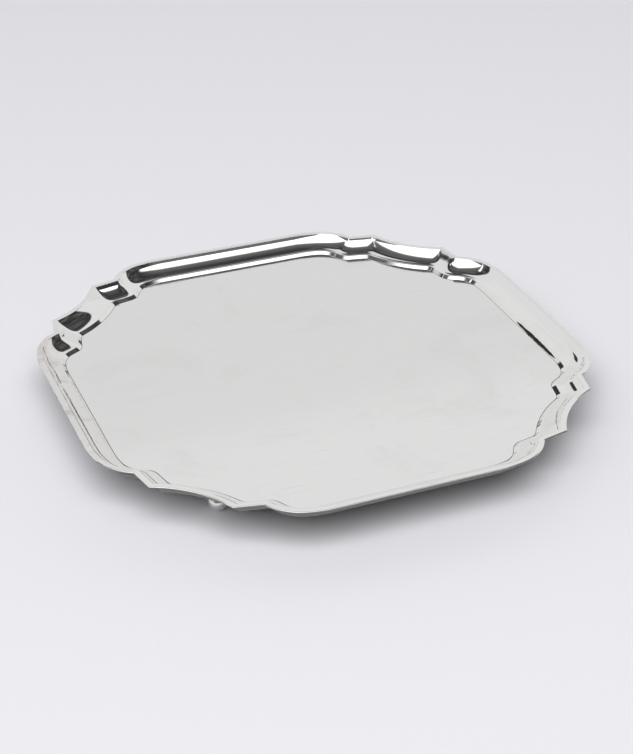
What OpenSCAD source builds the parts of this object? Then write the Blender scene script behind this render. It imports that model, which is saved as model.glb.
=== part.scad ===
// Square silver salver with rounded shoulders, bracketed corners and four ball feet.
// The origin is on the resting plane, under the middle of the well. +Z is up, +Y is the back.

/* [Overall] */
// Width across two opposite sides
across_sides = 305; // [290:1:330]
// Height from the resting plane to the top of the lip
overall_h = 27.4; // [25:0.1:34]

/* [Outline] */
// Length of the straight stretch in the middle of a side
side_straight = 93; // [84:1:98]
// Radius of the shoulder where it leaves the straight
shoulder_r1 = 66; // [60:1:72]
// Turn of that first part of the shoulder, in degrees
shoulder_a1 = 14; // [12:0.5:16]
// Tighter radius of the shoulder where it falls to the notch
shoulder_r2 = 30; // [28:0.5:33]
// Turn of that second part of the shoulder, in degrees
shoulder_a2 = 47; // [45:0.5:49]
// Straight lead from the shoulder into the notch
notch_lead = 0.8; // [0.4:0.1:1.2]
// Distance of a corner point from the middle line of its side
point_out = 97.8; // [97:0.1:99]
// Distance of a corner point in from the line of its side
point_in = 20.7; // [20:0.1:21.5]
// Depth of the hollow curve between the two points of a corner
hollow_curve = 4.8; // [3:0.1:6]

/* [Border section] */
// Width of the border from the outer edge to the well
border_w = 16.4; // [15:0.1:17]
// Depth of the well below the lip
border_h = 8.85; // [8:0.05:10]
// Width of the flat lip
lip_w = 3.3; // [2.5:0.1:4]
// Thickness of the lip, which ends in a half-round edge
lip_t = 1; // [0.8:0.1:1.6]
// Slope at which the hollow moulding leaves the lip, in degrees
hollow_slope = 60; // [56:1:64]
// Wall thickness behind the hollow moulding
wall_t = 1; // [0.8:0.1:1.4]
// Width of the level ledge below the hollow moulding
ledge_w = 0.7; // [0.5:0.1:1.6]
// Height of the inner step where the border stands on the plate
step_h = 1.65; // [1.4:0.05:2]
// Width of the sloping face of that step
step_w = 2; // [1.4:0.1:2.2]

/* [Plate] */
// Thickness of the sheet
plate_t = 1; // [0.8:0.1:1.5]
// Distance of the sheet's edge in from the outer edge of the border
plate_inset = 10; // [9.5:0.1:11]

/* [Feet] */
// Distance of each foot from both middle lines of the salver
foot_pos = 92.4; // [86:0.2:94]
// Radius of the ball
ball_r = 5.8; // [5:0.1:6.5]
// Radius of the flat worn under the ball
ball_flat_r = 2.4; // [1.5:0.1:3]
// Radius of the pad against the plate
pad_r = 7; // [6.5:0.1:8]
// Thickness of the pad
pad_t = 1; // [0.8:0.1:1.5]
// Radius of the neck at its waist
neck_r = 2.6; // [2:0.1:3]

/* [Hidden] */
$fn = 96;

silver = [0.84, 0.84, 0.83];
shade_silver = [0.76, 0.76, 0.75];

half = across_sides / 2;
s0 = side_straight / 2;
fall_a = shoulder_a1 + shoulder_a2;

// A direction given as its turn to the right of +X, and the inward side of it
function along(a) = [cos(a), -sin(a)];
function inward(a) = [-sin(a), -cos(a)];
function reversed(list) = [for (i = [len(list) - 1 : -1 : 0]) list[i]];

// Shoulder arcs, then the notch, the point and the hollow curve of the corner at +X +Y
arc1_c = [s0, half - shoulder_r1];
arc2_c = arc1_c - inward(shoulder_a1) * (shoulder_r1 - shoulder_r2);
notch = arc2_c - inward(fall_a) * shoulder_r2 + along(fall_a) * notch_lead;
point = [point_out, half - point_in];
run_a = -atan2(point.y - notch.y, point.x - notch.x);
notch_turn = fall_a - run_a;
chord_half = (point.y - point.x) / sqrt(2);
curve_r = (chord_half * chord_half + hollow_curve * hollow_curve) / (2 * hollow_curve);
curve_c = ((point.x + point.y) / 2 + (curve_r - hollow_curve) / sqrt(2)) * [1, 1];
curve_in = (curve_c - point) * inward(run_a);
curve_on = (curve_c - point) * along(run_a);

// Places at a distance t inside the outer edge: on a shoulder, and on the two mitres
function on_arc(c, r, a, t) = c - inward(a) * (r - t);
function notch_mitre(t) = notch + inward(run_a) * t - along(run_a) * t * tan(notch_turn / 2);
function point_mitre(t) = point + inward(run_a) * t
    + along(run_a) * (curve_on - sqrt(pow(curve_r + t, 2) - pow(t - curve_in, 2)));

// Place a part k of the way from the point's mitre to the middle of the corner
function on_curve(k, t) = let (
        v = point_mitre(t) - curve_c,
        start = atan2(v.y, v.x) + 360,
        a = start + (225 - start) * k
    )
    curve_c + (curve_r + t) * [cos(a), sin(a)];

arc1_steps = 4;
arc2_steps = 9;
curve_steps = 5;

// Stations of a half side, from its middle to the notch, and of a half corner after that
side_places = concat(
    [for (i = [0 : arc1_steps]) function (t) on_arc(arc1_c, shoulder_r1, shoulder_a1 * i / arc1_steps, t)],
    [for (i = [1 : arc2_steps])
        function (t) on_arc(arc2_c, shoulder_r2, shoulder_a1 + shoulder_a2 * i / arc2_steps, t)],
    [function (t) notch_mitre(t)]
);
corner_places = [for (i = [0 : curve_steps]) function (t) on_curve(i / curve_steps, t)];

// Outline at a distance t inside the outer edge: one quarter of it, then the whole
function swap(p) = [p.y, p.x];
function turned(p, q) = [p.x * cos(90 * q) + p.y * sin(90 * q), p.y * cos(90 * q) - p.x * sin(90 * q)];
function eighth(t) = [for (place = concat(side_places, corner_places)) place(t)];
function quarter(t) = let (e = eighth(t)) concat(e, [for (i = [len(e) - 2 : -1 : 0]) swap(e[i])]);
function outline(t) = [for (q = [0 : 3]) for (p = quarter(t)) turned(p, q)];

// Section of the border: X runs inwards from the outer edge, Y is the height over the lip's top
toe = [border_w - step_w - ledge_w, step_h - border_h];
hollow_chord = norm(toe - [lip_w, 0]);
toe_slope = 2 * atan2(-toe.y, toe.x - lip_w) - hollow_slope;
hollow_r = hollow_chord / (2 * sin((hollow_slope - toe_slope) / 2));
hollow_c = [lip_w, 0] + hollow_r * [sin(hollow_slope), cos(hollow_slope)];
back_r = hollow_r + wall_t;
back_a0 = acos((hollow_c.y + lip_t) / back_r);
land_x = plate_inset - 0.6;
back_a1 = asin((hollow_c.x - land_x) / back_r);
edge_r = lip_t / 2;
edge_steps = 8;
hollow_steps = 12;
back_steps = 6;
function arc_at(c, r, a) = c - r * [sin(a), cos(a)];
section = concat(
    [for (i = [0 : edge_steps]) arc_at([edge_r, -edge_r], edge_r, 180 * i / edge_steps)],
    [for (i = [0 : hollow_steps])
        arc_at(hollow_c, hollow_r, hollow_slope + (toe_slope - hollow_slope) * i / hollow_steps)],
    [
        toe + [ledge_w, 0],
        [border_w, -border_h],
        [land_x, -border_h]
    ],
    [for (i = [0 : back_steps])
        arc_at(hollow_c, back_r, back_a1 + (back_a0 - back_a1) * i / back_steps)]
);

plate_top = overall_h - border_h;
foot_h = plate_top - plate_t;
ball_z = sqrt(ball_r * ball_r - ball_flat_r * ball_flat_r);
cove_r = pad_r - neck_r;
collar_r = neck_r + 1.1;
collar_t = 0.9;
collar_z = foot_h - pad_t - cove_r - collar_t;

// Solid swept through a list of places, each of which sets the section down in plan
function rows(places) = [for (place = places)
    [for (s = section) let (p = place(s.x)) [p.x, p.y, overall_h + s.y]]];
function flipped(row_list) = [for (row = reversed(row_list)) [for (p = row) [-p.x, p.y, p.z]]];
function swapped(row_list) = [for (row = reversed(row_list)) [for (p = row) [p.y, p.x, p.z]]];

module swept(row_list) {
    n = len(section);
    last = len(row_list) - 1;
    sides = [for (i = [0 : last - 1]) for (j = [0 : n - 1])
        let (a = i * n + j, b = i * n + (j + 1) % n)
        each [[a, b, a + n], [a + n, b, b + n]]];
    ends = [[for (j = [n - 1 : -1 : 0]) j], [for (j = [0 : n - 1]) last * n + j]];
    polyhedron([for (row = row_list) each row], concat(sides, ends), convexity = 8);
}

module side_border(q) {
    half_side = rows(side_places);
    color(silver)
        rotate([0, 0, -90 * q])
        swept(concat(flipped(half_side), half_side));
}

module corner_bracket(q) {
    half_corner = rows(concat([function (t) notch_mitre(t)], corner_places));
    other_half = swapped(half_corner);
    color(silver)
        rotate([0, 0, -90 * q])
        swept(concat(half_corner, [for (i = [1 : len(other_half) - 1]) other_half[i]]));
}

module well_plate() {
    color(silver)
        translate([0, 0, plate_top - plate_t])
        linear_extrude(plate_t)
        polygon(outline(plate_inset));
}

// Ball, collar, waisted neck and pad, turned as one
module ball_foot(x, y) {
    color(shade_silver)
        translate([x, y, 0])
        rotate_extrude()
        union() {
            intersection() {
                translate([0, ball_z])
                    circle(r = ball_r);
                square([ball_r, 2 * ball_r]);
            }
            translate([0, ball_z])
                square([neck_r, foot_h - ball_z]);
            translate([0, collar_z])
                square([collar_r, collar_t]);
            translate([0, foot_h - pad_t])
                square([pad_r, pad_t]);
            difference() {
                translate([0, foot_h - pad_t - cove_r])
                    square([pad_r, cove_r]);
                translate([pad_r, foot_h - pad_t - cove_r])
                    circle(r = cove_r);
            }
        }
}

module border_back() { side_border(0); }
module border_right() { side_border(1); }
module border_front() { side_border(2); }
module border_left() { side_border(3); }
module bracket_back_right() { corner_bracket(0); }
module bracket_front_right() { corner_bracket(1); }
module bracket_front_left() { corner_bracket(2); }
module bracket_back_left() { corner_bracket(3); }
module foot_back_left() { ball_foot(-foot_pos, foot_pos); }
module foot_back_right() { ball_foot(foot_pos, foot_pos); }
module foot_front_right() { ball_foot(foot_pos, -foot_pos); }
module foot_front_left() { ball_foot(-foot_pos, -foot_pos); }

well_plate();
border_back();
border_right();
border_front();
border_left();
bracket_back_left();
bracket_back_right();
bracket_front_right();
bracket_front_left();
foot_back_left();
foot_back_right();
foot_front_right();
foot_front_left();
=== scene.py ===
import math

import bmesh
import bpy
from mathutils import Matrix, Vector


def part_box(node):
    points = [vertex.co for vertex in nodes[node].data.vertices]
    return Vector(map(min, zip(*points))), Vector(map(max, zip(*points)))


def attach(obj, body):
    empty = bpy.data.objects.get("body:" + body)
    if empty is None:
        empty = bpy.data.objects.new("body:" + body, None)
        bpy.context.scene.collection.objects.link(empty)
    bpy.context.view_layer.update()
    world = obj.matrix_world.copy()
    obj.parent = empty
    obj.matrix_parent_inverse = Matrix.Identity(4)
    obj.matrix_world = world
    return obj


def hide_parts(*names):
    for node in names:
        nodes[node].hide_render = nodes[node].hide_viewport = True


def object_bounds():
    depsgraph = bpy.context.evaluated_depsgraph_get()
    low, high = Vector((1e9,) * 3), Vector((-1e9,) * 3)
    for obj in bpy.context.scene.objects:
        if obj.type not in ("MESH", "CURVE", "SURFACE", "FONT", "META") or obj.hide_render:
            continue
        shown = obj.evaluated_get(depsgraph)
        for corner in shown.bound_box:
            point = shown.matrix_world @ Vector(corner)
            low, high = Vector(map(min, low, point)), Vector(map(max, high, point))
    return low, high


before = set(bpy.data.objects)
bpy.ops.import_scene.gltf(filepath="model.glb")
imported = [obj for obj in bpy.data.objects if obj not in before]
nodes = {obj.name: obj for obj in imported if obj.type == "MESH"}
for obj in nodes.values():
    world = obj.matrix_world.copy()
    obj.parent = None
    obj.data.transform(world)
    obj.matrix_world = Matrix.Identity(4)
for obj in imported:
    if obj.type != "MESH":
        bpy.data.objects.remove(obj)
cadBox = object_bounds()

mm = 0.001
boxLow, boxHigh = cadBox
halfWidth = (boxHigh.x - boxLow.x) / 2
lipTop = boxHigh.z
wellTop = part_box("well_plate")[1].z
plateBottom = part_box("well_plate")[0].z
print("frame loaded, salver is", round(halfWidth * 2000, 1), "mm across")


# outline of the salver in plan, at a distance t inside its outer edge

outline = {
    "straight": 93 * mm,        # middle stretch of each side
    "wideRadius": 66 * mm,      # shoulder where it leaves the straight
    "wideTurn": 14,
    "tightRadius": 30 * mm,     # shoulder where it falls to the notch
    "tightTurn": 47,
    "lead": 0.8 * mm,           # short straight into the notch
    "pointOut": 97.8 * mm,      # corner point from the middle line of its side
    "pointIn": 20.7 * mm,       # and in from the line of its side
    "hollowDepth": 4.8 * mm,    # hollow curve between two points
}


def along(angle):
    a = math.radians(angle)
    return Vector((math.cos(a), -math.sin(a)))


def inward(angle):
    a = math.radians(angle)
    return Vector((-math.sin(a), -math.cos(a)))


fallTurn = outline["wideTurn"] + outline["tightTurn"]
wideCentre = Vector((outline["straight"] / 2, halfWidth - outline["wideRadius"]))
tightCentre = wideCentre - inward(outline["wideTurn"]) * (outline["wideRadius"] - outline["tightRadius"])
notch = tightCentre - inward(fallTurn) * outline["tightRadius"] + along(fallTurn) * outline["lead"]
point = Vector((outline["pointOut"], halfWidth - outline["pointIn"]))
runTurn = -math.degrees(math.atan2(point.y - notch.y, point.x - notch.x))
halfChord = (point.y - point.x) / math.sqrt(2)
curveRadius = (halfChord ** 2 + outline["hollowDepth"] ** 2) / (2 * outline["hollowDepth"])
curveMiddle = (point.x + point.y) / 2 + (curveRadius - outline["hollowDepth"]) / math.sqrt(2)
curveCentre = Vector((curveMiddle, curveMiddle))


def onArc(centre, radius, angle, t):
    return centre - inward(angle) * (radius - t)


def notchMitre(t):
    slide = t * math.tan(math.radians(fallTurn - runTurn) / 2)
    return notch + inward(runTurn) * t - along(runTurn) * slide


def pointMitre(t):
    curveIn = (curveCentre - point).dot(inward(runTurn))
    curveOn = (curveCentre - point).dot(along(runTurn))
    slide = curveOn - math.sqrt((curveRadius + t) ** 2 - (t - curveIn) ** 2)
    return point + inward(runTurn) * t + along(runTurn) * slide


def onCurve(k, t):
    # k runs from 0 at the point's mitre to 1 at the middle of the corner
    v = pointMitre(t) - curveCentre
    start = math.atan2(v.y, v.x) + 2 * math.pi
    a = start + (math.radians(225) - start) * k
    return curveCentre + Vector((math.cos(a), math.sin(a))) * (curveRadius + t)


# section of the border: t runs inwards from the outer edge, z is the height over the lip

moulding = {
    "lipWidth": 3.3 * mm,
    "lipThick": 1.0 * mm,       # ends in a half-round edge
    "hollowSlope": 60,          # slope where the hollow leaves the lip
    "wall": 1.0 * mm,
    "ledge": 0.7 * mm,
    "stepHeight": 1.65 * mm,
    "stepWidth": 2.0 * mm,
    "width": 16.4 * mm,
    "landing": 9.4 * mm,        # where the flat underside starts
    "arris": 0.22 * mm,         # softened by polishing
    "hold": 0.06 * mm,          # flat kept beside each softened corner
    "rimHold": 0.1 * mm,        # flat kept on the lip beside its half-round edge
    "arrisLead": 0.5 * mm,      # and before the arris
    "footHold": 0.25 * mm,      # flat kept under the foot of the step
}


def soften(path, corner, reach, steps=5):
    # rounds one corner of a path, with a point beyond each end to keep the faces beside it flat
    before, at, after = path[corner - 1], path[corner], path[corner + 1]
    first = at + (before - at).normalized() * reach
    last = at + (after - at).normalized() * reach
    bend = [first + (before - at).normalized() * moulding["hold"]]
    for i in range(steps + 1):
        k = i / steps
        bend.append(first * (1 - k) ** 2 + at * 2 * k * (1 - k) + last * k ** 2)
    bend.append(last + (after - at).normalized() * moulding["hold"])
    return path[:corner] + bend + path[corner + 1:]


def arcAt(centre, radius, angle):
    a = math.radians(angle)
    return centre - Vector((math.sin(a), math.cos(a))) * radius


def borderSection(m):
    drop = wellTop - lipTop
    toe = Vector((m["width"] - m["stepWidth"] - m["ledge"], drop + m["stepHeight"]))
    lipEnd = Vector((m["lipWidth"], 0))
    chord = (toe - lipEnd).length
    toeSlope = 2 * math.degrees(math.atan2(-toe.y, toe.x - lipEnd.x)) - m["hollowSlope"]
    radius = chord / (2 * math.sin(math.radians(m["hollowSlope"] - toeSlope) / 2))
    a = math.radians(m["hollowSlope"])
    centre = lipEnd + Vector((math.sin(a), math.cos(a))) * radius
    backRadius = radius + m["wall"]
    backTop = math.degrees(math.acos((centre.y + m["lipThick"]) / backRadius))
    backLow = math.degrees(math.asin((centre.x - m["landing"]) / backRadius))
    edge = m["lipThick"] / 2
    path = [arcAt(Vector((edge, -edge)), edge, 180 * i / 16) for i in range(17)]
    path.append(Vector((edge + m["rimHold"], 0)))
    path.append(Vector((m["lipWidth"] - m["arrisLead"], 0)))
    arrisAt = len(path)
    hollowSteps = 24
    for i in range(hollowSteps + 1):
        slope = m["hollowSlope"] + (toeSlope - m["hollowSlope"]) * i / hollowSteps
        path.append(arcAt(centre, radius, slope))
    toeAt = len(path) - 1
    path.append(toe + Vector((m["ledge"], 0)))
    path.append(Vector((m["width"], drop)))
    path.append(Vector((m["width"] + m["footHold"], drop)))
    path.append(Vector((m["landing"], drop)))
    for i in range(9):
        path.append(arcAt(centre, backRadius, backLow + (backTop - backLow) * i / 8))
    path = soften(path, toeAt + 1, m["arris"])
    path = soften(path, toeAt, m["arris"])
    return soften(path, arrisAt, m["arris"])


section = borderSection(moulding)


# modelling helpers

def deselectAll():
    bpy.ops.object.select_all(action="DESELECT")


def growRings(name, rings):
    # a filled ring, extruded from station to station
    deselectAll()
    bpy.ops.mesh.primitive_circle_add(vertices=len(rings[0]), radius=halfWidth, fill_type="NGON")
    piece = bpy.context.object
    piece.name = name
    piece.data.name = name
    bpy.ops.object.mode_set(mode="EDIT")
    bpy.ops.mesh.select_mode(type="FACE")
    bpy.ops.mesh.select_all(action="SELECT")
    mesh = bmesh.from_edit_mesh(piece.data)
    mesh.faces.ensure_lookup_table()
    edge = list(mesh.faces[0].verts)
    for vert, place in zip(edge, rings[0]):
        vert.co = place
    for ring in rings[1:]:
        before = [tuple(v.co) for v in edge]
        bpy.ops.mesh.extrude_region_move(TRANSFORM_OT_translate={"value": (0, 0, 0)})
        mesh = bmesh.from_edit_mesh(piece.data)
        fresh = {tuple(v.co): v for v in mesh.verts if v.select}
        edge = [fresh[place] for place in before]
        for vert, place in zip(edge, ring):
            vert.co = place
    bmesh.update_edit_mesh(piece.data)
    bpy.ops.mesh.select_all(action="SELECT")
    bpy.ops.mesh.normals_make_consistent(inside=False)
    bpy.ops.object.mode_set(mode="OBJECT")
    return piece


def finishShading(piece, angle=30):
    deselectAll()
    piece.select_set(True)
    bpy.context.view_layer.objects.active = piece
    bpy.ops.object.shade_smooth_by_angle(angle=math.radians(angle))


def turnedCopy(piece, name, quarters):
    # a copy with its own mesh, turned to the right by quarter turns about the middle
    deselectAll()
    piece.select_set(True)
    bpy.context.view_layer.objects.active = piece
    bpy.ops.object.duplicate(linked=False)
    copy = bpy.context.object
    copy.name = name
    copy.data.name = name
    copy.rotation_euler = (0, 0, -math.pi / 2 * quarters)
    bpy.ops.object.transform_apply(location=True, rotation=True, scale=True)
    return copy


def stand(place):
    # the section stood up at one station of the outline
    ring = []
    for s in section:
        p = place(s.x)
        ring.append(Vector((p.x, p.y, lipTop + s.y)))
    return ring


mitreSoftness = {
    "lipReach": 0.25 * mm,      # the crease is crisp on the lip
    "notchReach": 4.5 * mm,     # and worked soft where the hollow turns
    "pointReach": 3.0 * mm,
    "steps": 8,
}


def reachAt(t, deep):
    # how far from a mitre the rounding starts, at a distance t inside the outer edge
    k = min(max((t - moulding["lipWidth"]) / (4 * mm), 0), 1)
    return mitreSoftness["lipReach"] + (deep - mitreSoftness["lipReach"]) * k * k * (3 - 2 * k)


def bend(before, mitre, after, k):
    return before * (1 - k) ** 2 + mitre * 2 * k * (1 - k) + after * k ** 2


def onTight(distance, t):
    # a place so far back from the end of the tight shoulder, measured along the offset line
    lead = (notchMitre(t) - onArc(tightCentre, outline["tightRadius"], fallTurn, t)).dot(along(fallTurn))
    if distance < lead:
        return notchMitre(t) - along(fallTurn) * distance
    turn = math.degrees((distance - lead) / (outline["tightRadius"] - t))
    return onArc(tightCentre, outline["tightRadius"], fallTurn - turn, t)


def notchBend(k, t):
    reach = reachAt(t, mitreSoftness["notchReach"])
    return bend(onTight(reach, t), notchMitre(t), notchMitre(t) + along(runTurn) * reach, k)


def curveAt(distance, t):
    # a place on the hollow curve, so far on from the point's mitre
    v = pointMitre(t) - curveCentre
    whole = abs(math.radians(225) - (math.atan2(v.y, v.x) + 2 * math.pi)) * (curveRadius + t)
    return onCurve(distance / whole, t)


def pointBend(k, t):
    reach = reachAt(t, mitreSoftness["pointReach"])
    return bend(pointMitre(t) - along(runTurn) * reach, pointMitre(t), curveAt(reach, t), k)


def mirrored(rings, flip):
    return [[flip(p) for p in ring] for ring in reversed(rings)]


# borders, one for each side, mitred into the brackets at both notches

borderSteps = {"wide": 10, "tight": 30}


def borderRings():
    wide, tight, soft = borderSteps["wide"], borderSteps["tight"], mitreSoftness["steps"]
    stations = []
    for i in range(wide + 1):
        turn = outline["wideTurn"] * i / wide
        stations.append(stand(lambda t: onArc(wideCentre, outline["wideRadius"], turn, t)))

    def tightPart(k, t):
        # from the start of the tight shoulder to where the mitre's rounding starts
        end = notchBend(0, t) - tightCentre
        endTurn = 90 - math.degrees(math.atan2(end.y, end.x))
        turn = outline["wideTurn"] + (min(endTurn, fallTurn) - outline["wideTurn"]) * k
        return onArc(tightCentre, outline["tightRadius"], turn, t)

    for i in range(1, tight + 1):
        stations.append(stand(lambda t: tightPart(i / tight, t)))
    for i in range(1, soft + 1):
        stations.append(stand(lambda t: notchBend(0.5 * i / soft, t)))
    return mirrored(stations, lambda p: Vector((-p.x, p.y, p.z))) + stations


borders = {}
backBorder = growRings("moulding_back", borderRings())
finishShading(backBorder)
borders["back"] = backBorder
for quarters, side in enumerate(["right", "front", "left"], start=1):
    borders[side] = turnedCopy(backBorder, "moulding_" + side, quarters)
print("borders swept")


# brackets, one for each corner: two straight runs mitred into a hollow curve

bracketSteps = {"run": 4, "curve": 16}


def bracketRings():
    soft = mitreSoftness["steps"]
    stations = [stand(lambda t: notchBend(0.5 + 0.5 * i / soft, t)) for i in range(soft + 1)]
    for i in range(1, bracketSteps["run"]):
        k = i / bracketSteps["run"]
        stations.append(stand(lambda t: notchBend(1, t).lerp(pointBend(0, t), k)))
    stations += [stand(lambda t: pointBend(i / (2 * soft), t)) for i in range(2 * soft + 1)]

    def curvePart(k, t):
        start = pointBend(1, t) - curveCentre
        a = math.atan2(start.y, start.x) + 2 * math.pi
        a += (math.radians(225) - a) * k
        return curveCentre + Vector((math.cos(a), math.sin(a))) * (curveRadius + t)

    for i in range(1, bracketSteps["curve"] + 1):
        stations.append(stand(lambda t: curvePart(i / bracketSteps["curve"], t)))
    return stations + mirrored(stations[:-1], lambda p: Vector((p.y, p.x, p.z)))


brackets = {}
backRightBracket = growRings("corner_back_right", bracketRings())
finishShading(backRightBracket)
brackets["back_right"] = backRightBracket
for quarters, corner in enumerate(["front_right", "front_left", "back_left"], start=1):
    brackets[corner] = turnedCopy(backRightBracket, "corner_" + corner, quarters)
print("brackets swept")


# feet: ball, collar, waisted neck and pad, turned and soldered under the plate

foot = {
    "ball": 5.8 * mm,
    "flat": 2.4 * mm,           # worn flat under the ball
    "pad": 7.0 * mm,
    "padThick": 1.0 * mm,
    "neck": 2.6 * mm,
    "collar": 3.7 * mm,
    "collarThick": 0.9 * mm,
    "rounding": 0.15 * mm,
    "blend": 0.25 * mm,         # ball into neck
    "padSpread": 0.1 * mm,
    "solder": 0.35 * mm,        # run of solder round the pad
    "sides": 72,
}


def footProfile(f):
    # radius and height from the floor up to the plate
    ballHeight = math.sqrt(f["ball"] ** 2 - f["flat"] ** 2)
    cove = f["pad"] - f["neck"]
    coveLow = plateBottom - f["padThick"] - cove
    collarLow = coveLow - f["collarThick"]
    profile = [(f["flat"] - f["rounding"], 0.0)]
    lowest = math.degrees(math.asin(f["flat"] / f["ball"]))
    highest = 180 - math.degrees(math.asin(f["neck"] * 1.02 / f["ball"]))
    for i in range(37):
        a = math.radians(lowest + (highest - lowest) * i / 36)
        profile.append((f["ball"] * math.sin(a), ballHeight - f["ball"] * math.cos(a)))
    profile.append((f["neck"], profile[-1][1] + f["blend"]))
    profile.append((f["neck"], collarLow - 0.2 * mm))
    for i in range(9):
        a = math.pi * i / 8
        bead = f["collarThick"] / 2
        profile.append((f["collar"] - bead + bead * math.sin(a), collarLow + bead - bead * math.cos(a)))
    for i in range(13):
        a = math.radians(90 * i / 12)
        profile.append((f["pad"] - cove * math.cos(a), coveLow + cove * math.sin(a)))
    profile.append((f["pad"] + f["padSpread"], plateBottom - f["padThick"] + f["rounding"]))
    profile.append((f["pad"] + f["padSpread"], plateBottom - f["solder"] + f["padSpread"]))
    profile.append((f["pad"] + f["solder"], plateBottom))
    return profile


def ballFoot(name, cadName):
    low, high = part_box(cadName)
    middle = (low + high) / 2
    rings = []
    for radius, height in footProfile(foot):
        ring = []
        for i in range(foot["sides"]):
            a = 2 * math.pi * i / foot["sides"]
            ring.append(Vector((middle.x + radius * math.cos(a), middle.y + radius * math.sin(a), height)))
        rings.append(ring)
    piece = growRings(name, rings)
    finishShading(piece)
    return piece


feet = {}
for corner in ["back_left", "back_right", "front_right", "front_left"]:
    feet[corner] = ballFoot("ball_" + corner, "foot_" + corner)
print("feet turned")


# silver: finish groups shared by the plate, the border and the feet

def newGroup(name, inputs, outputs):
    group = bpy.data.node_groups.new(name, "ShaderNodeTree")
    for label, kind, value in inputs:
        socket = group.interface.new_socket(name=label, in_out="INPUT", socket_type=kind)
        socket.default_value = value
    for label, kind in outputs:
        group.interface.new_socket(name=label, in_out="OUTPUT", socket_type=kind)
    return group, group.nodes.new("NodeGroupInput"), group.nodes.new("NodeGroupOutput")


def addNode(tree, kind, settings=None, inputs=None):
    node = tree.nodes.new(kind)
    for key, value in (settings or {}).items():
        setattr(node, key, value)
    for key, value in (inputs or {}).items():
        if isinstance(value, bpy.types.NodeSocket):
            tree.links.new(value, node.inputs[key])
        else:
            node.inputs[key].default_value = value
    return node


def fineScratchGroup():
    # hairlines of everyday polishing, laid in three directions
    group, enter, leave = newGroup(
        "fineScratches",
        [("Scale", "NodeSocketFloat", 1.0), ("Amount", "NodeSocketFloat", 1.0)],
        [("Mask", "NodeSocketFloat")],
    )
    coordinates = addNode(group, "ShaderNodeTexCoord")
    total = None
    for turn, stretch, seed in [(0.5, 26, 0.0), (1.9, 34, 3.1), (2.7, 22, 7.7)]:
        mapping = addNode(group, "ShaderNodeMapping", inputs={
            "Vector": coordinates.outputs["Object"],
            "Location": (seed, seed * 0.7, 0.0),
            "Rotation": (0.0, 0.0, turn),
            "Scale": (stretch, stretch * 40, stretch),
        })
        scaled = addNode(group, "ShaderNodeVectorMath", {"operation": "SCALE"}, {0: mapping.outputs[0]})
        group.links.new(enter.outputs["Scale"], scaled.inputs["Scale"])
        noise = addNode(group, "ShaderNodeTexNoise", inputs={
            "Vector": scaled.outputs[0], "Scale": 1.0, "Detail": 3.0, "Roughness": 0.6,
        })
        line = addNode(group, "ShaderNodeMapRange", inputs={
            "Value": noise.outputs["Fac"], "From Min": 0.66, "From Max": 0.76,
        })
        if total is None:
            total = line.outputs[0]
        else:
            total = addNode(group, "ShaderNodeMath", {"operation": "MAXIMUM"},
                            {0: total, 1: line.outputs[0]}).outputs[0]
    strength = addNode(group, "ShaderNodeMath", {"operation": "MULTIPLY"}, {0: total})
    group.links.new(enter.outputs["Amount"], strength.inputs[1])
    group.links.new(strength.outputs[0], leave.inputs["Mask"])
    return group


def tarnishGroup():
    # cloudy handling marks and the first brown of tarnish, strongest in a few patches
    group, enter, leave = newGroup(
        "tarnish",
        [
            ("Metal", "NodeSocketColor", (0.93, 0.93, 0.92, 1.0)),
            ("Stain", "NodeSocketColor", (0.62, 0.52, 0.44, 1.0)),
            ("Scale", "NodeSocketFloat", 14.0),
            ("Amount", "NodeSocketFloat", 0.2),
        ],
        [("Color", "NodeSocketColor"), ("Mask", "NodeSocketFloat")],
    )
    coordinates = addNode(group, "ShaderNodeTexCoord")
    clouds = addNode(group, "ShaderNodeTexNoise", inputs={
        "Vector": coordinates.outputs["Object"], "Detail": 6.0, "Roughness": 0.62, "Distortion": 0.8,
    })
    group.links.new(enter.outputs["Scale"], clouds.inputs["Scale"])
    patch = addNode(group, "ShaderNodeMapRange", {"interpolation_type": "SMOOTHSTEP"}, {
        "Value": clouds.outputs["Fac"], "From Min": 0.5, "From Max": 0.74,
    })
    amount = addNode(group, "ShaderNodeMath", {"operation": "MULTIPLY"}, {0: patch.outputs[0]})
    group.links.new(enter.outputs["Amount"], amount.inputs[1])
    mix = addNode(group, "ShaderNodeMix", {"data_type": "RGBA"})
    group.links.new(amount.outputs[0], mix.inputs[0])
    group.links.new(enter.outputs["Metal"], mix.inputs[6])
    group.links.new(enter.outputs["Stain"], mix.inputs[7])
    group.links.new(mix.outputs[2], leave.inputs["Color"])
    group.links.new(patch.outputs[0], leave.inputs["Mask"])
    return group


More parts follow.
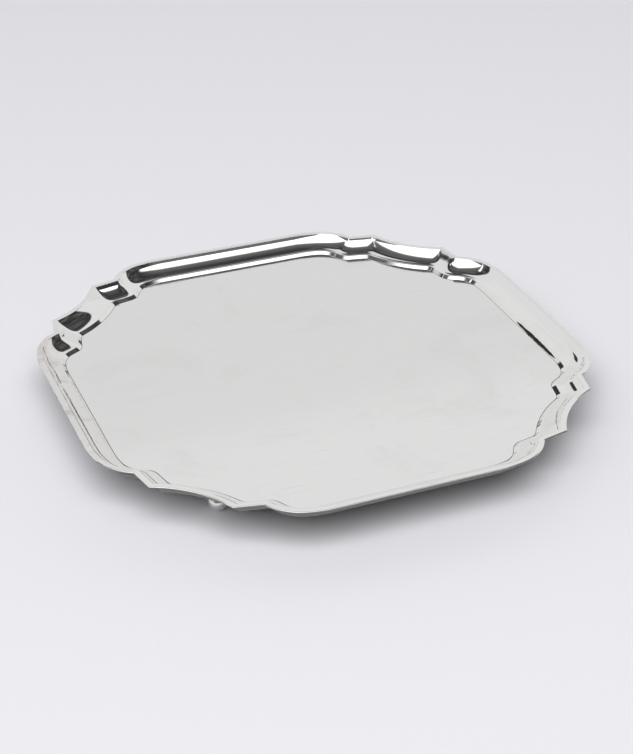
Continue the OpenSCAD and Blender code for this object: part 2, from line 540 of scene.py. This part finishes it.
def darkCreaseLineGroup():
    # a black line along a crease, thinning out towards both ends of its length
    group, enter, leave = newGroup(
        "darkCreaseLine",
        [
            ("Along", "NodeSocketFloat", 0.0),
            ("HalfLength", "NodeSocketFloat", 0.035),
            ("Height", "NodeSocketFloat", 0.0194),
            ("HalfWidth", "NodeSocketFloat", 0.0005),
        ],
        [("Mask", "NodeSocketFloat")],
    )

    def calculate(kind, a, b=0.0, c=0.0):
        return addNode(group, "ShaderNodeMath", {"operation": kind}, {0: a, 1: b, 2: c}).outputs[0]

    coordinates = addNode(group, "ShaderNodeTexCoord")
    x, y, z = addNode(group, "ShaderNodeSeparateXYZ", inputs={0: coordinates.outputs["Object"]}).outputs
    wobble = addNode(group, "ShaderNodeTexNoise", inputs={
        "Vector": coordinates.outputs["Object"], "Scale": 160.0, "Detail": 3.0,
    }).outputs["Fac"]
    reach = calculate("SUBTRACT", y, enter.outputs["Along"])
    reach = calculate("DIVIDE", reach, enter.outputs["HalfLength"])
    thin = calculate("MAXIMUM", calculate("SUBTRACT", 1.0, calculate("MULTIPLY", reach, reach)), 0.0)
    wide = calculate("MULTIPLY", calculate("SQRT", thin), enter.outputs["HalfWidth"])
    wide = calculate("MULTIPLY", wide, calculate("ADD", wobble, 0.5))
    away = calculate("ABSOLUTE", calculate("SUBTRACT", z, enter.outputs["Height"]))
    edge = calculate("SUBTRACT", wide, away)
    mask = addNode(group, "ShaderNodeMapRange", inputs={
        "Value": edge, "From Min": 0.0, "From Max": 0.0001,
    })
    group.links.new(mask.outputs[0], leave.inputs["Mask"])
    return group


fineScratches = fineScratchGroup()
tarnish = tarnishGroup()
darkCreaseLine = darkCreaseLineGroup()

finishes = {
    "plateSilver": {
        "metal": (0.95, 0.948, 0.945, 1.0), "stain": (0.86, 0.845, 0.84, 1.0), "stainScale": 18.0,
        "stainAmount": 0.45, "roughness": 0.07, "smear": 0.07, "scratchScale": 1.0, "scratchTone": 0.10,
        "scratchDepth": 0.02, "waveScale": 14.0, "waveDepth": 0.03,
        # the colour for faces turned down is painted shade
        "under": (0.25, 0.24, 0.225, 1.0),
    },
    "borderSilver": {
        "metal": (0.95, 0.945, 0.94, 1.0), "stain": (0.84, 0.80, 0.775, 1.0), "stainScale": 26.0,
        "stainAmount": 0.5, "roughness": 0.035, "smear": 0.05, "scratchScale": 1.6, "scratchTone": 0.06,
        "scratchDepth": 0.004, "waveScale": 85.0, "waveDepth": 0.045,
        # the colour for faces turned down is painted shade
        "under": (0.22, 0.21, 0.20, 1.0),
    },
    "leftSilver": {             # this side is tarnished where it has been held
        "metal": (0.93, 0.915, 0.90, 1.0), "stain": (0.62, 0.54, 0.51, 1.0), "stainScale": 38.0,
        "stainAmount": 0.75, "roughness": 0.05, "smear": 0.07, "scratchScale": 1.6, "scratchTone": 0.10,
        "scratchDepth": 0.004, "waveScale": 110.0, "waveDepth": 0.12,
        # the colour for faces turned down is painted shade
        "under": (0.18, 0.17, 0.16, 1.0),
    },
    "footSilver": {
        "metal": (0.92, 0.91, 0.90, 1.0), "stain": (0.42, 0.36, 0.30, 1.0), "stainScale": 90.0,
        "stainAmount": 0.6, "roughness": 0.09, "smear": 0.12, "scratchScale": 2.5, "scratchTone": 0.08,
        "scratchDepth": 0.004, "waveScale": 60.0, "waveDepth": 0.01,
    },
}
finishes["rightSilver"] = {     # a black line runs along the crease of this side
    **finishes["borderSilver"],
    "creaseLine": {
        "Along": -23 * mm,
        "HalfLength": 25 * mm,
        "Height": wellTop + 0.75 * mm,
        "HalfWidth": 0.75 * mm,
    },
}

polish = {
    "scratchShade": (0.2, 0.2, 0.2, 1.0),
    "scratchRough": 0.1,        # added to the roughness along a scratch
    "dullRough": 0.22,          # and on the unpolished back
    "shadeAndDullFrom": 0.42,           # upward part of the normal where the dull finish and the painted shade start
    "shadeAndDullFull": 0.0,
    "creaseLineShade": (0.035, 0.032, 0.03, 1.0),
    "relief": 0.001,            # height of a full bump, in metres
}


def silver(name):
    f = finishes[name]
    material = bpy.data.materials.new(name)
    material.use_nodes = True
    tree = material.node_tree
    shader = tree.nodes["Principled BSDF"]
    shader.inputs["Metallic"].default_value = 1.0
    tone = addNode(tree, "ShaderNodeGroup", {"node_tree": tarnish}, {
        "Metal": f["metal"], "Stain": f["stain"], "Scale": f["stainScale"], "Amount": f["stainAmount"],
    })
    scratches = addNode(tree, "ShaderNodeGroup", {"node_tree": fineScratches}, {
        "Scale": f["scratchScale"], "Amount": 1.0,
    })
    scratchShade = addNode(tree, "ShaderNodeMath", {"operation": "MULTIPLY"}, {
        0: scratches.outputs["Mask"], 1: f["scratchTone"],
    })
    scratched = addNode(tree, "ShaderNodeMix", {"data_type": "RGBA"}, {
        0: scratchShade.outputs[0], 6: tone.outputs["Color"], 7: polish["scratchShade"],
    })
    shade = scratched.outputs[2]
    if "creaseLine" in f:
        creaseLine = addNode(tree, "ShaderNodeGroup", {"node_tree": darkCreaseLine}, f["creaseLine"])
        shade = addNode(tree, "ShaderNodeMix", {"data_type": "RGBA"}, {
            0: creaseLine.outputs["Mask"], 6: shade, 7: polish["creaseLineShade"],
        }).outputs[2]
    coordinates = addNode(tree, "ShaderNodeTexCoord")
    under = 0.0
    if "under" in f:            # faces turned down or steeply to the side get a darker colour, painted shade on the underside and the rim's edge; they are also rougher, as the back and the rim were never brought to a full polish
        facing = addNode(tree, "ShaderNodeSeparateXYZ", inputs={0: coordinates.outputs["Normal"]})
        under = addNode(tree, "ShaderNodeMapRange", inputs={
            "Value": facing.outputs["Z"], "From Min": polish["shadeAndDullFrom"], "From Max": polish["shadeAndDullFull"],
        }).outputs[0]
        shade = addNode(tree, "ShaderNodeMix", {"data_type": "RGBA"}, {
            0: under, 6: shade, 7: f["under"],
        }).outputs[2]
    tree.links.new(shade, shader.inputs["Base Color"])
    smeared = addNode(tree, "ShaderNodeMath", {"operation": "MULTIPLY_ADD"}, {
        0: tone.outputs["Mask"], 1: f["smear"], 2: f["roughness"],
    })
    roughness = addNode(tree, "ShaderNodeMath", {"operation": "MULTIPLY_ADD"}, {
        0: scratches.outputs["Mask"], 1: polish["scratchRough"], 2: smeared.outputs[0],
    })
    dulled = addNode(tree, "ShaderNodeMath", {"operation": "MULTIPLY_ADD"}, {
        0: under, 1: polish["dullRough"], 2: roughness.outputs[0],
    })
    tree.links.new(dulled.outputs[0], shader.inputs["Roughness"])
    waves = addNode(tree, "ShaderNodeTexNoise", inputs={
        "Vector": coordinates.outputs["Object"], "Scale": f["waveScale"], "Detail": 1.0,
    })
    waveBump = addNode(tree, "ShaderNodeBump", inputs={
        "Strength": f["waveDepth"], "Distance": polish["relief"], "Height": waves.outputs["Fac"],
    })
    scratchBump = addNode(tree, "ShaderNodeBump", {"invert": True}, {
        "Strength": f["scratchDepth"], "Distance": polish["relief"], "Height": scratches.outputs["Mask"],
        "Normal": waveBump.outputs[0],
    })
    tree.links.new(scratchBump.outputs[0], shader.inputs["Normal"])
    return material


plateSilver = silver("plateSilver")
borderSilver = silver("borderSilver")
leftSilver = silver("leftSilver")
rightSilver = silver("rightSilver")
footSilver = silver("footSilver")
print("silver mixed")


def wear(piece, material, cadNode):
    piece.data.materials.clear()
    piece.data.materials.append(material)
    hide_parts(cadNode)
    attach(piece, "root")


sideSilver = {"back": borderSilver, "right": rightSilver, "front": borderSilver, "left": leftSilver}
for side, piece in borders.items():
    wear(piece, sideSilver[side], "border_" + side)
for corner, piece in brackets.items():
    wear(piece, borderSilver, "bracket_" + corner)
for corner, piece in feet.items():
    wear(piece, footSilver, "foot_" + corner)

plate = nodes["well_plate"]
for materialSlot in plate.material_slots:
    materialSlot.material = plateSilver


# studio: pale floor, one soft lamp, and a room of light panels that the silver reflects

floorLook = {"size": 6.0, "tone": (0.785, 0.785, 0.81, 1.0), "roughness": 0.7}


def paleFloor():
    deselectAll()
    bpy.ops.mesh.primitive_plane_add(size=floorLook["size"], location=(0, 0, boxLow.z))
    floor = bpy.context.object
    floor.name = "floor"
    bpy.ops.object.transform_apply(location=True, rotation=True, scale=True)
    material = bpy.data.materials.new("paleFloor")
    material.use_nodes = True
    shader = material.node_tree.nodes["Principled BSDF"]
    shader.inputs["Base Color"].default_value = floorLook["tone"]
    shader.inputs["Roughness"].default_value = floorLook["roughness"]
    shader.inputs["Specular IOR Level"].default_value = 0.1
    floor.data.materials.append(material)


paleFloor()

softLamp = {
    "azimuth": -118,            # degrees from +X, anticlockwise
    "elevation": 56,
    "distance": 3.0,
    "size": 2.6,
    "power": 55.0,
    "color": (0.96, 0.96, 1.0),
}


def hangLamp(lamp):
    a, e = math.radians(lamp["azimuth"]), math.radians(lamp["elevation"])
    away = Vector((math.cos(e) * math.cos(a), math.cos(e) * math.sin(a), math.sin(e)))
    deselectAll()
    bpy.ops.object.light_add(type="AREA", location=away * lamp["distance"])
    light = bpy.context.object
    light.name = "softLamp"
    light.rotation_euler = (-away).to_track_quat("-Z", "Y").to_euler()
    light.data.size = lamp["size"]
    light.data.energy = lamp["power"]
    light.data.color = lamp["color"]
    light.visible_glossy = False    # it lights the floor without showing in the silver


hangLamp(softLamp)

# each panel is the part of the room inside its edges; an edge keeps ax + by < c, with x and y
# measured across an imagined ceiling, in ceiling heights, and fades by its last number each way
room = {
    "ceiling": 0.035,
    "clouds": 0.12,             # paler drifts across the ceiling
    "cloudScale": 4.0,
    "cloudRange": (0.42, 0.68),
    "panels": {
        "rightWall": {"edges": [(-0.42, -1.0, -1.06, 0.03)], "tone": 0.71},
        "wallGlow": {"edges": [(-0.42, -1.0, -1.06, 0.03), (0.0, 1.0, 1.6, 0.14)], "tone": 0.765},
        "leftWall": {"edges": [(-0.42, -1.0, -0.61, 0.04), (1.0, 0.0, 0.18, 0.05)], "tone": 0.74},
        "bankLight": {
            "edges": [
                (0.37, 1.0, -0.14, 0.12), (1.0, 0.5, 0.48, 0.1),
                (-1.0, 0.0, 1.45, 0.1), (0.5, -1.0, 1.06, 0.06),
            ],
            "tone": 1.7,
        },
        "bankSpill": {"edges": [(0.37, 1.0, 0.3, 0.5), (1.0, 0.2, 0.5, 0.2)], "tone": 0.15},
        "stripLight": {
            "edges": [
                (0.0, 1.0, 0.56, 0.03), (0.0, -1.0, -0.42, 0.03),
                (1.0, 0.0, -0.6, 0.1), (-1.0, 0.0, 1.9, 0.1),
            ],
            "tone": 1.2,
        },
        "leftLow": {
            "edges": [(1.0, 0.0, -2.2, 0.4), (0.45, 1.0, 0.0, 0.3), (0.7, -1.0, 0.0, 0.3)],
            "tone": 0.5,
        },
    },
    "flags": {
        "stand": {
            "edges": [
                (1.0, 0.0, -0.45, 0.05), (-1.0, 0.0, 0.95, 0.05),
                (0.0, 1.0, 2.8, 0.1), (0.0, -1.0, -1.9, 0.1),
            ],
            "cuts": 0.95,
        },
    },
}


def buildRoom():
    world = bpy.data.worlds.new("lightRoom")
    bpy.context.scene.world = world
    world.use_nodes = True
    tree = world.node_tree
    background = tree.nodes["Background"]

    def calculate(kind, a, b=0.0, c=0.0):
        return addNode(tree, "ShaderNodeMath", {"operation": kind}, {0: a, 1: b, 2: c}).outputs[0]

    direction = addNode(tree, "ShaderNodeTexCoord").outputs["Generated"]
    x, y, z = addNode(tree, "ShaderNodeSeparateXYZ", inputs={0: direction}).outputs
    height = calculate("MAXIMUM", z, 0.01)
    across = calculate("DIVIDE", x, height)
    back = calculate("DIVIDE", y, height)

    def inside(edges, level):
        for a, b, limit, fade in edges:
            place = calculate("MULTIPLY_ADD", across, a, calculate("MULTIPLY", back, b))
            mask = addNode(tree, "ShaderNodeMapRange", {"interpolation_type": "SMOOTHSTEP"}, {
                "Value": place, "From Min": limit + fade, "From Max": limit - fade,
            }).outputs[0]
            level = calculate("MULTIPLY", mask, level)
        return level

    clouds = addNode(tree, "ShaderNodeTexNoise", inputs={
        "Vector": direction, "Scale": room["cloudScale"], "Detail": 2.0, "Distortion": 0.6,
    }).outputs["Fac"]
    light = addNode(tree, "ShaderNodeMapRange", {"interpolation_type": "SMOOTHSTEP"}, {
        "Value": clouds, "From Min": room["cloudRange"][0], "From Max": room["cloudRange"][1],
        "To Min": room["ceiling"], "To Max": room["clouds"],
    }).outputs[0]
    for panel in room["panels"].values():
        light = calculate("MAXIMUM", inside(panel["edges"], panel["tone"]), light)
    for flag in room["flags"].values():
        passed = calculate("SUBTRACT", 1.0, inside(flag["edges"], flag["cuts"]))
        light = calculate("MULTIPLY", light, passed)
    tree.links.new(light, background.inputs["Strength"])
    background.inputs["Color"].default_value = (1.0, 1.0, 1.0, 1.0)


buildRoom()
bpy.context.scene.view_settings.view_transform = "Standard"
bpy.context.scene.view_settings.look = "None"


# camera

cameraSet = {
    "azimuth": -112.02,         # degrees from +X, anticlockwise
    "elevation": 29.91,
    "distance": 1.0513,         # from the middle of the lip's plane
    "lens": 85,
    "aim": (-0.4 * mm, -7.4 * mm, 15.2 * mm),
}


def setCamera(c):
    azimuth, elevation = math.radians(c["azimuth"]), math.radians(c["elevation"])
    away = Vector((
        math.cos(elevation) * math.cos(azimuth),
        math.cos(elevation) * math.sin(azimuth),
        math.sin(elevation),
    ))
    place = Vector((0, 0, lipTop)) + away * c["distance"]
    deselectAll()
    bpy.ops.object.camera_add(location=place)
    camera = bpy.context.object
    camera.name = "viewCamera"
    camera.rotation_euler = (Vector(c["aim"]) - place).to_track_quat("-Z", "Y").to_euler()
    camera.data.lens = c["lens"]
    camera.data.sensor_width = 36
    camera.data.clip_end = 50
    bpy.context.scene.camera = camera


setCamera(cameraSet)
print("studio and camera set")
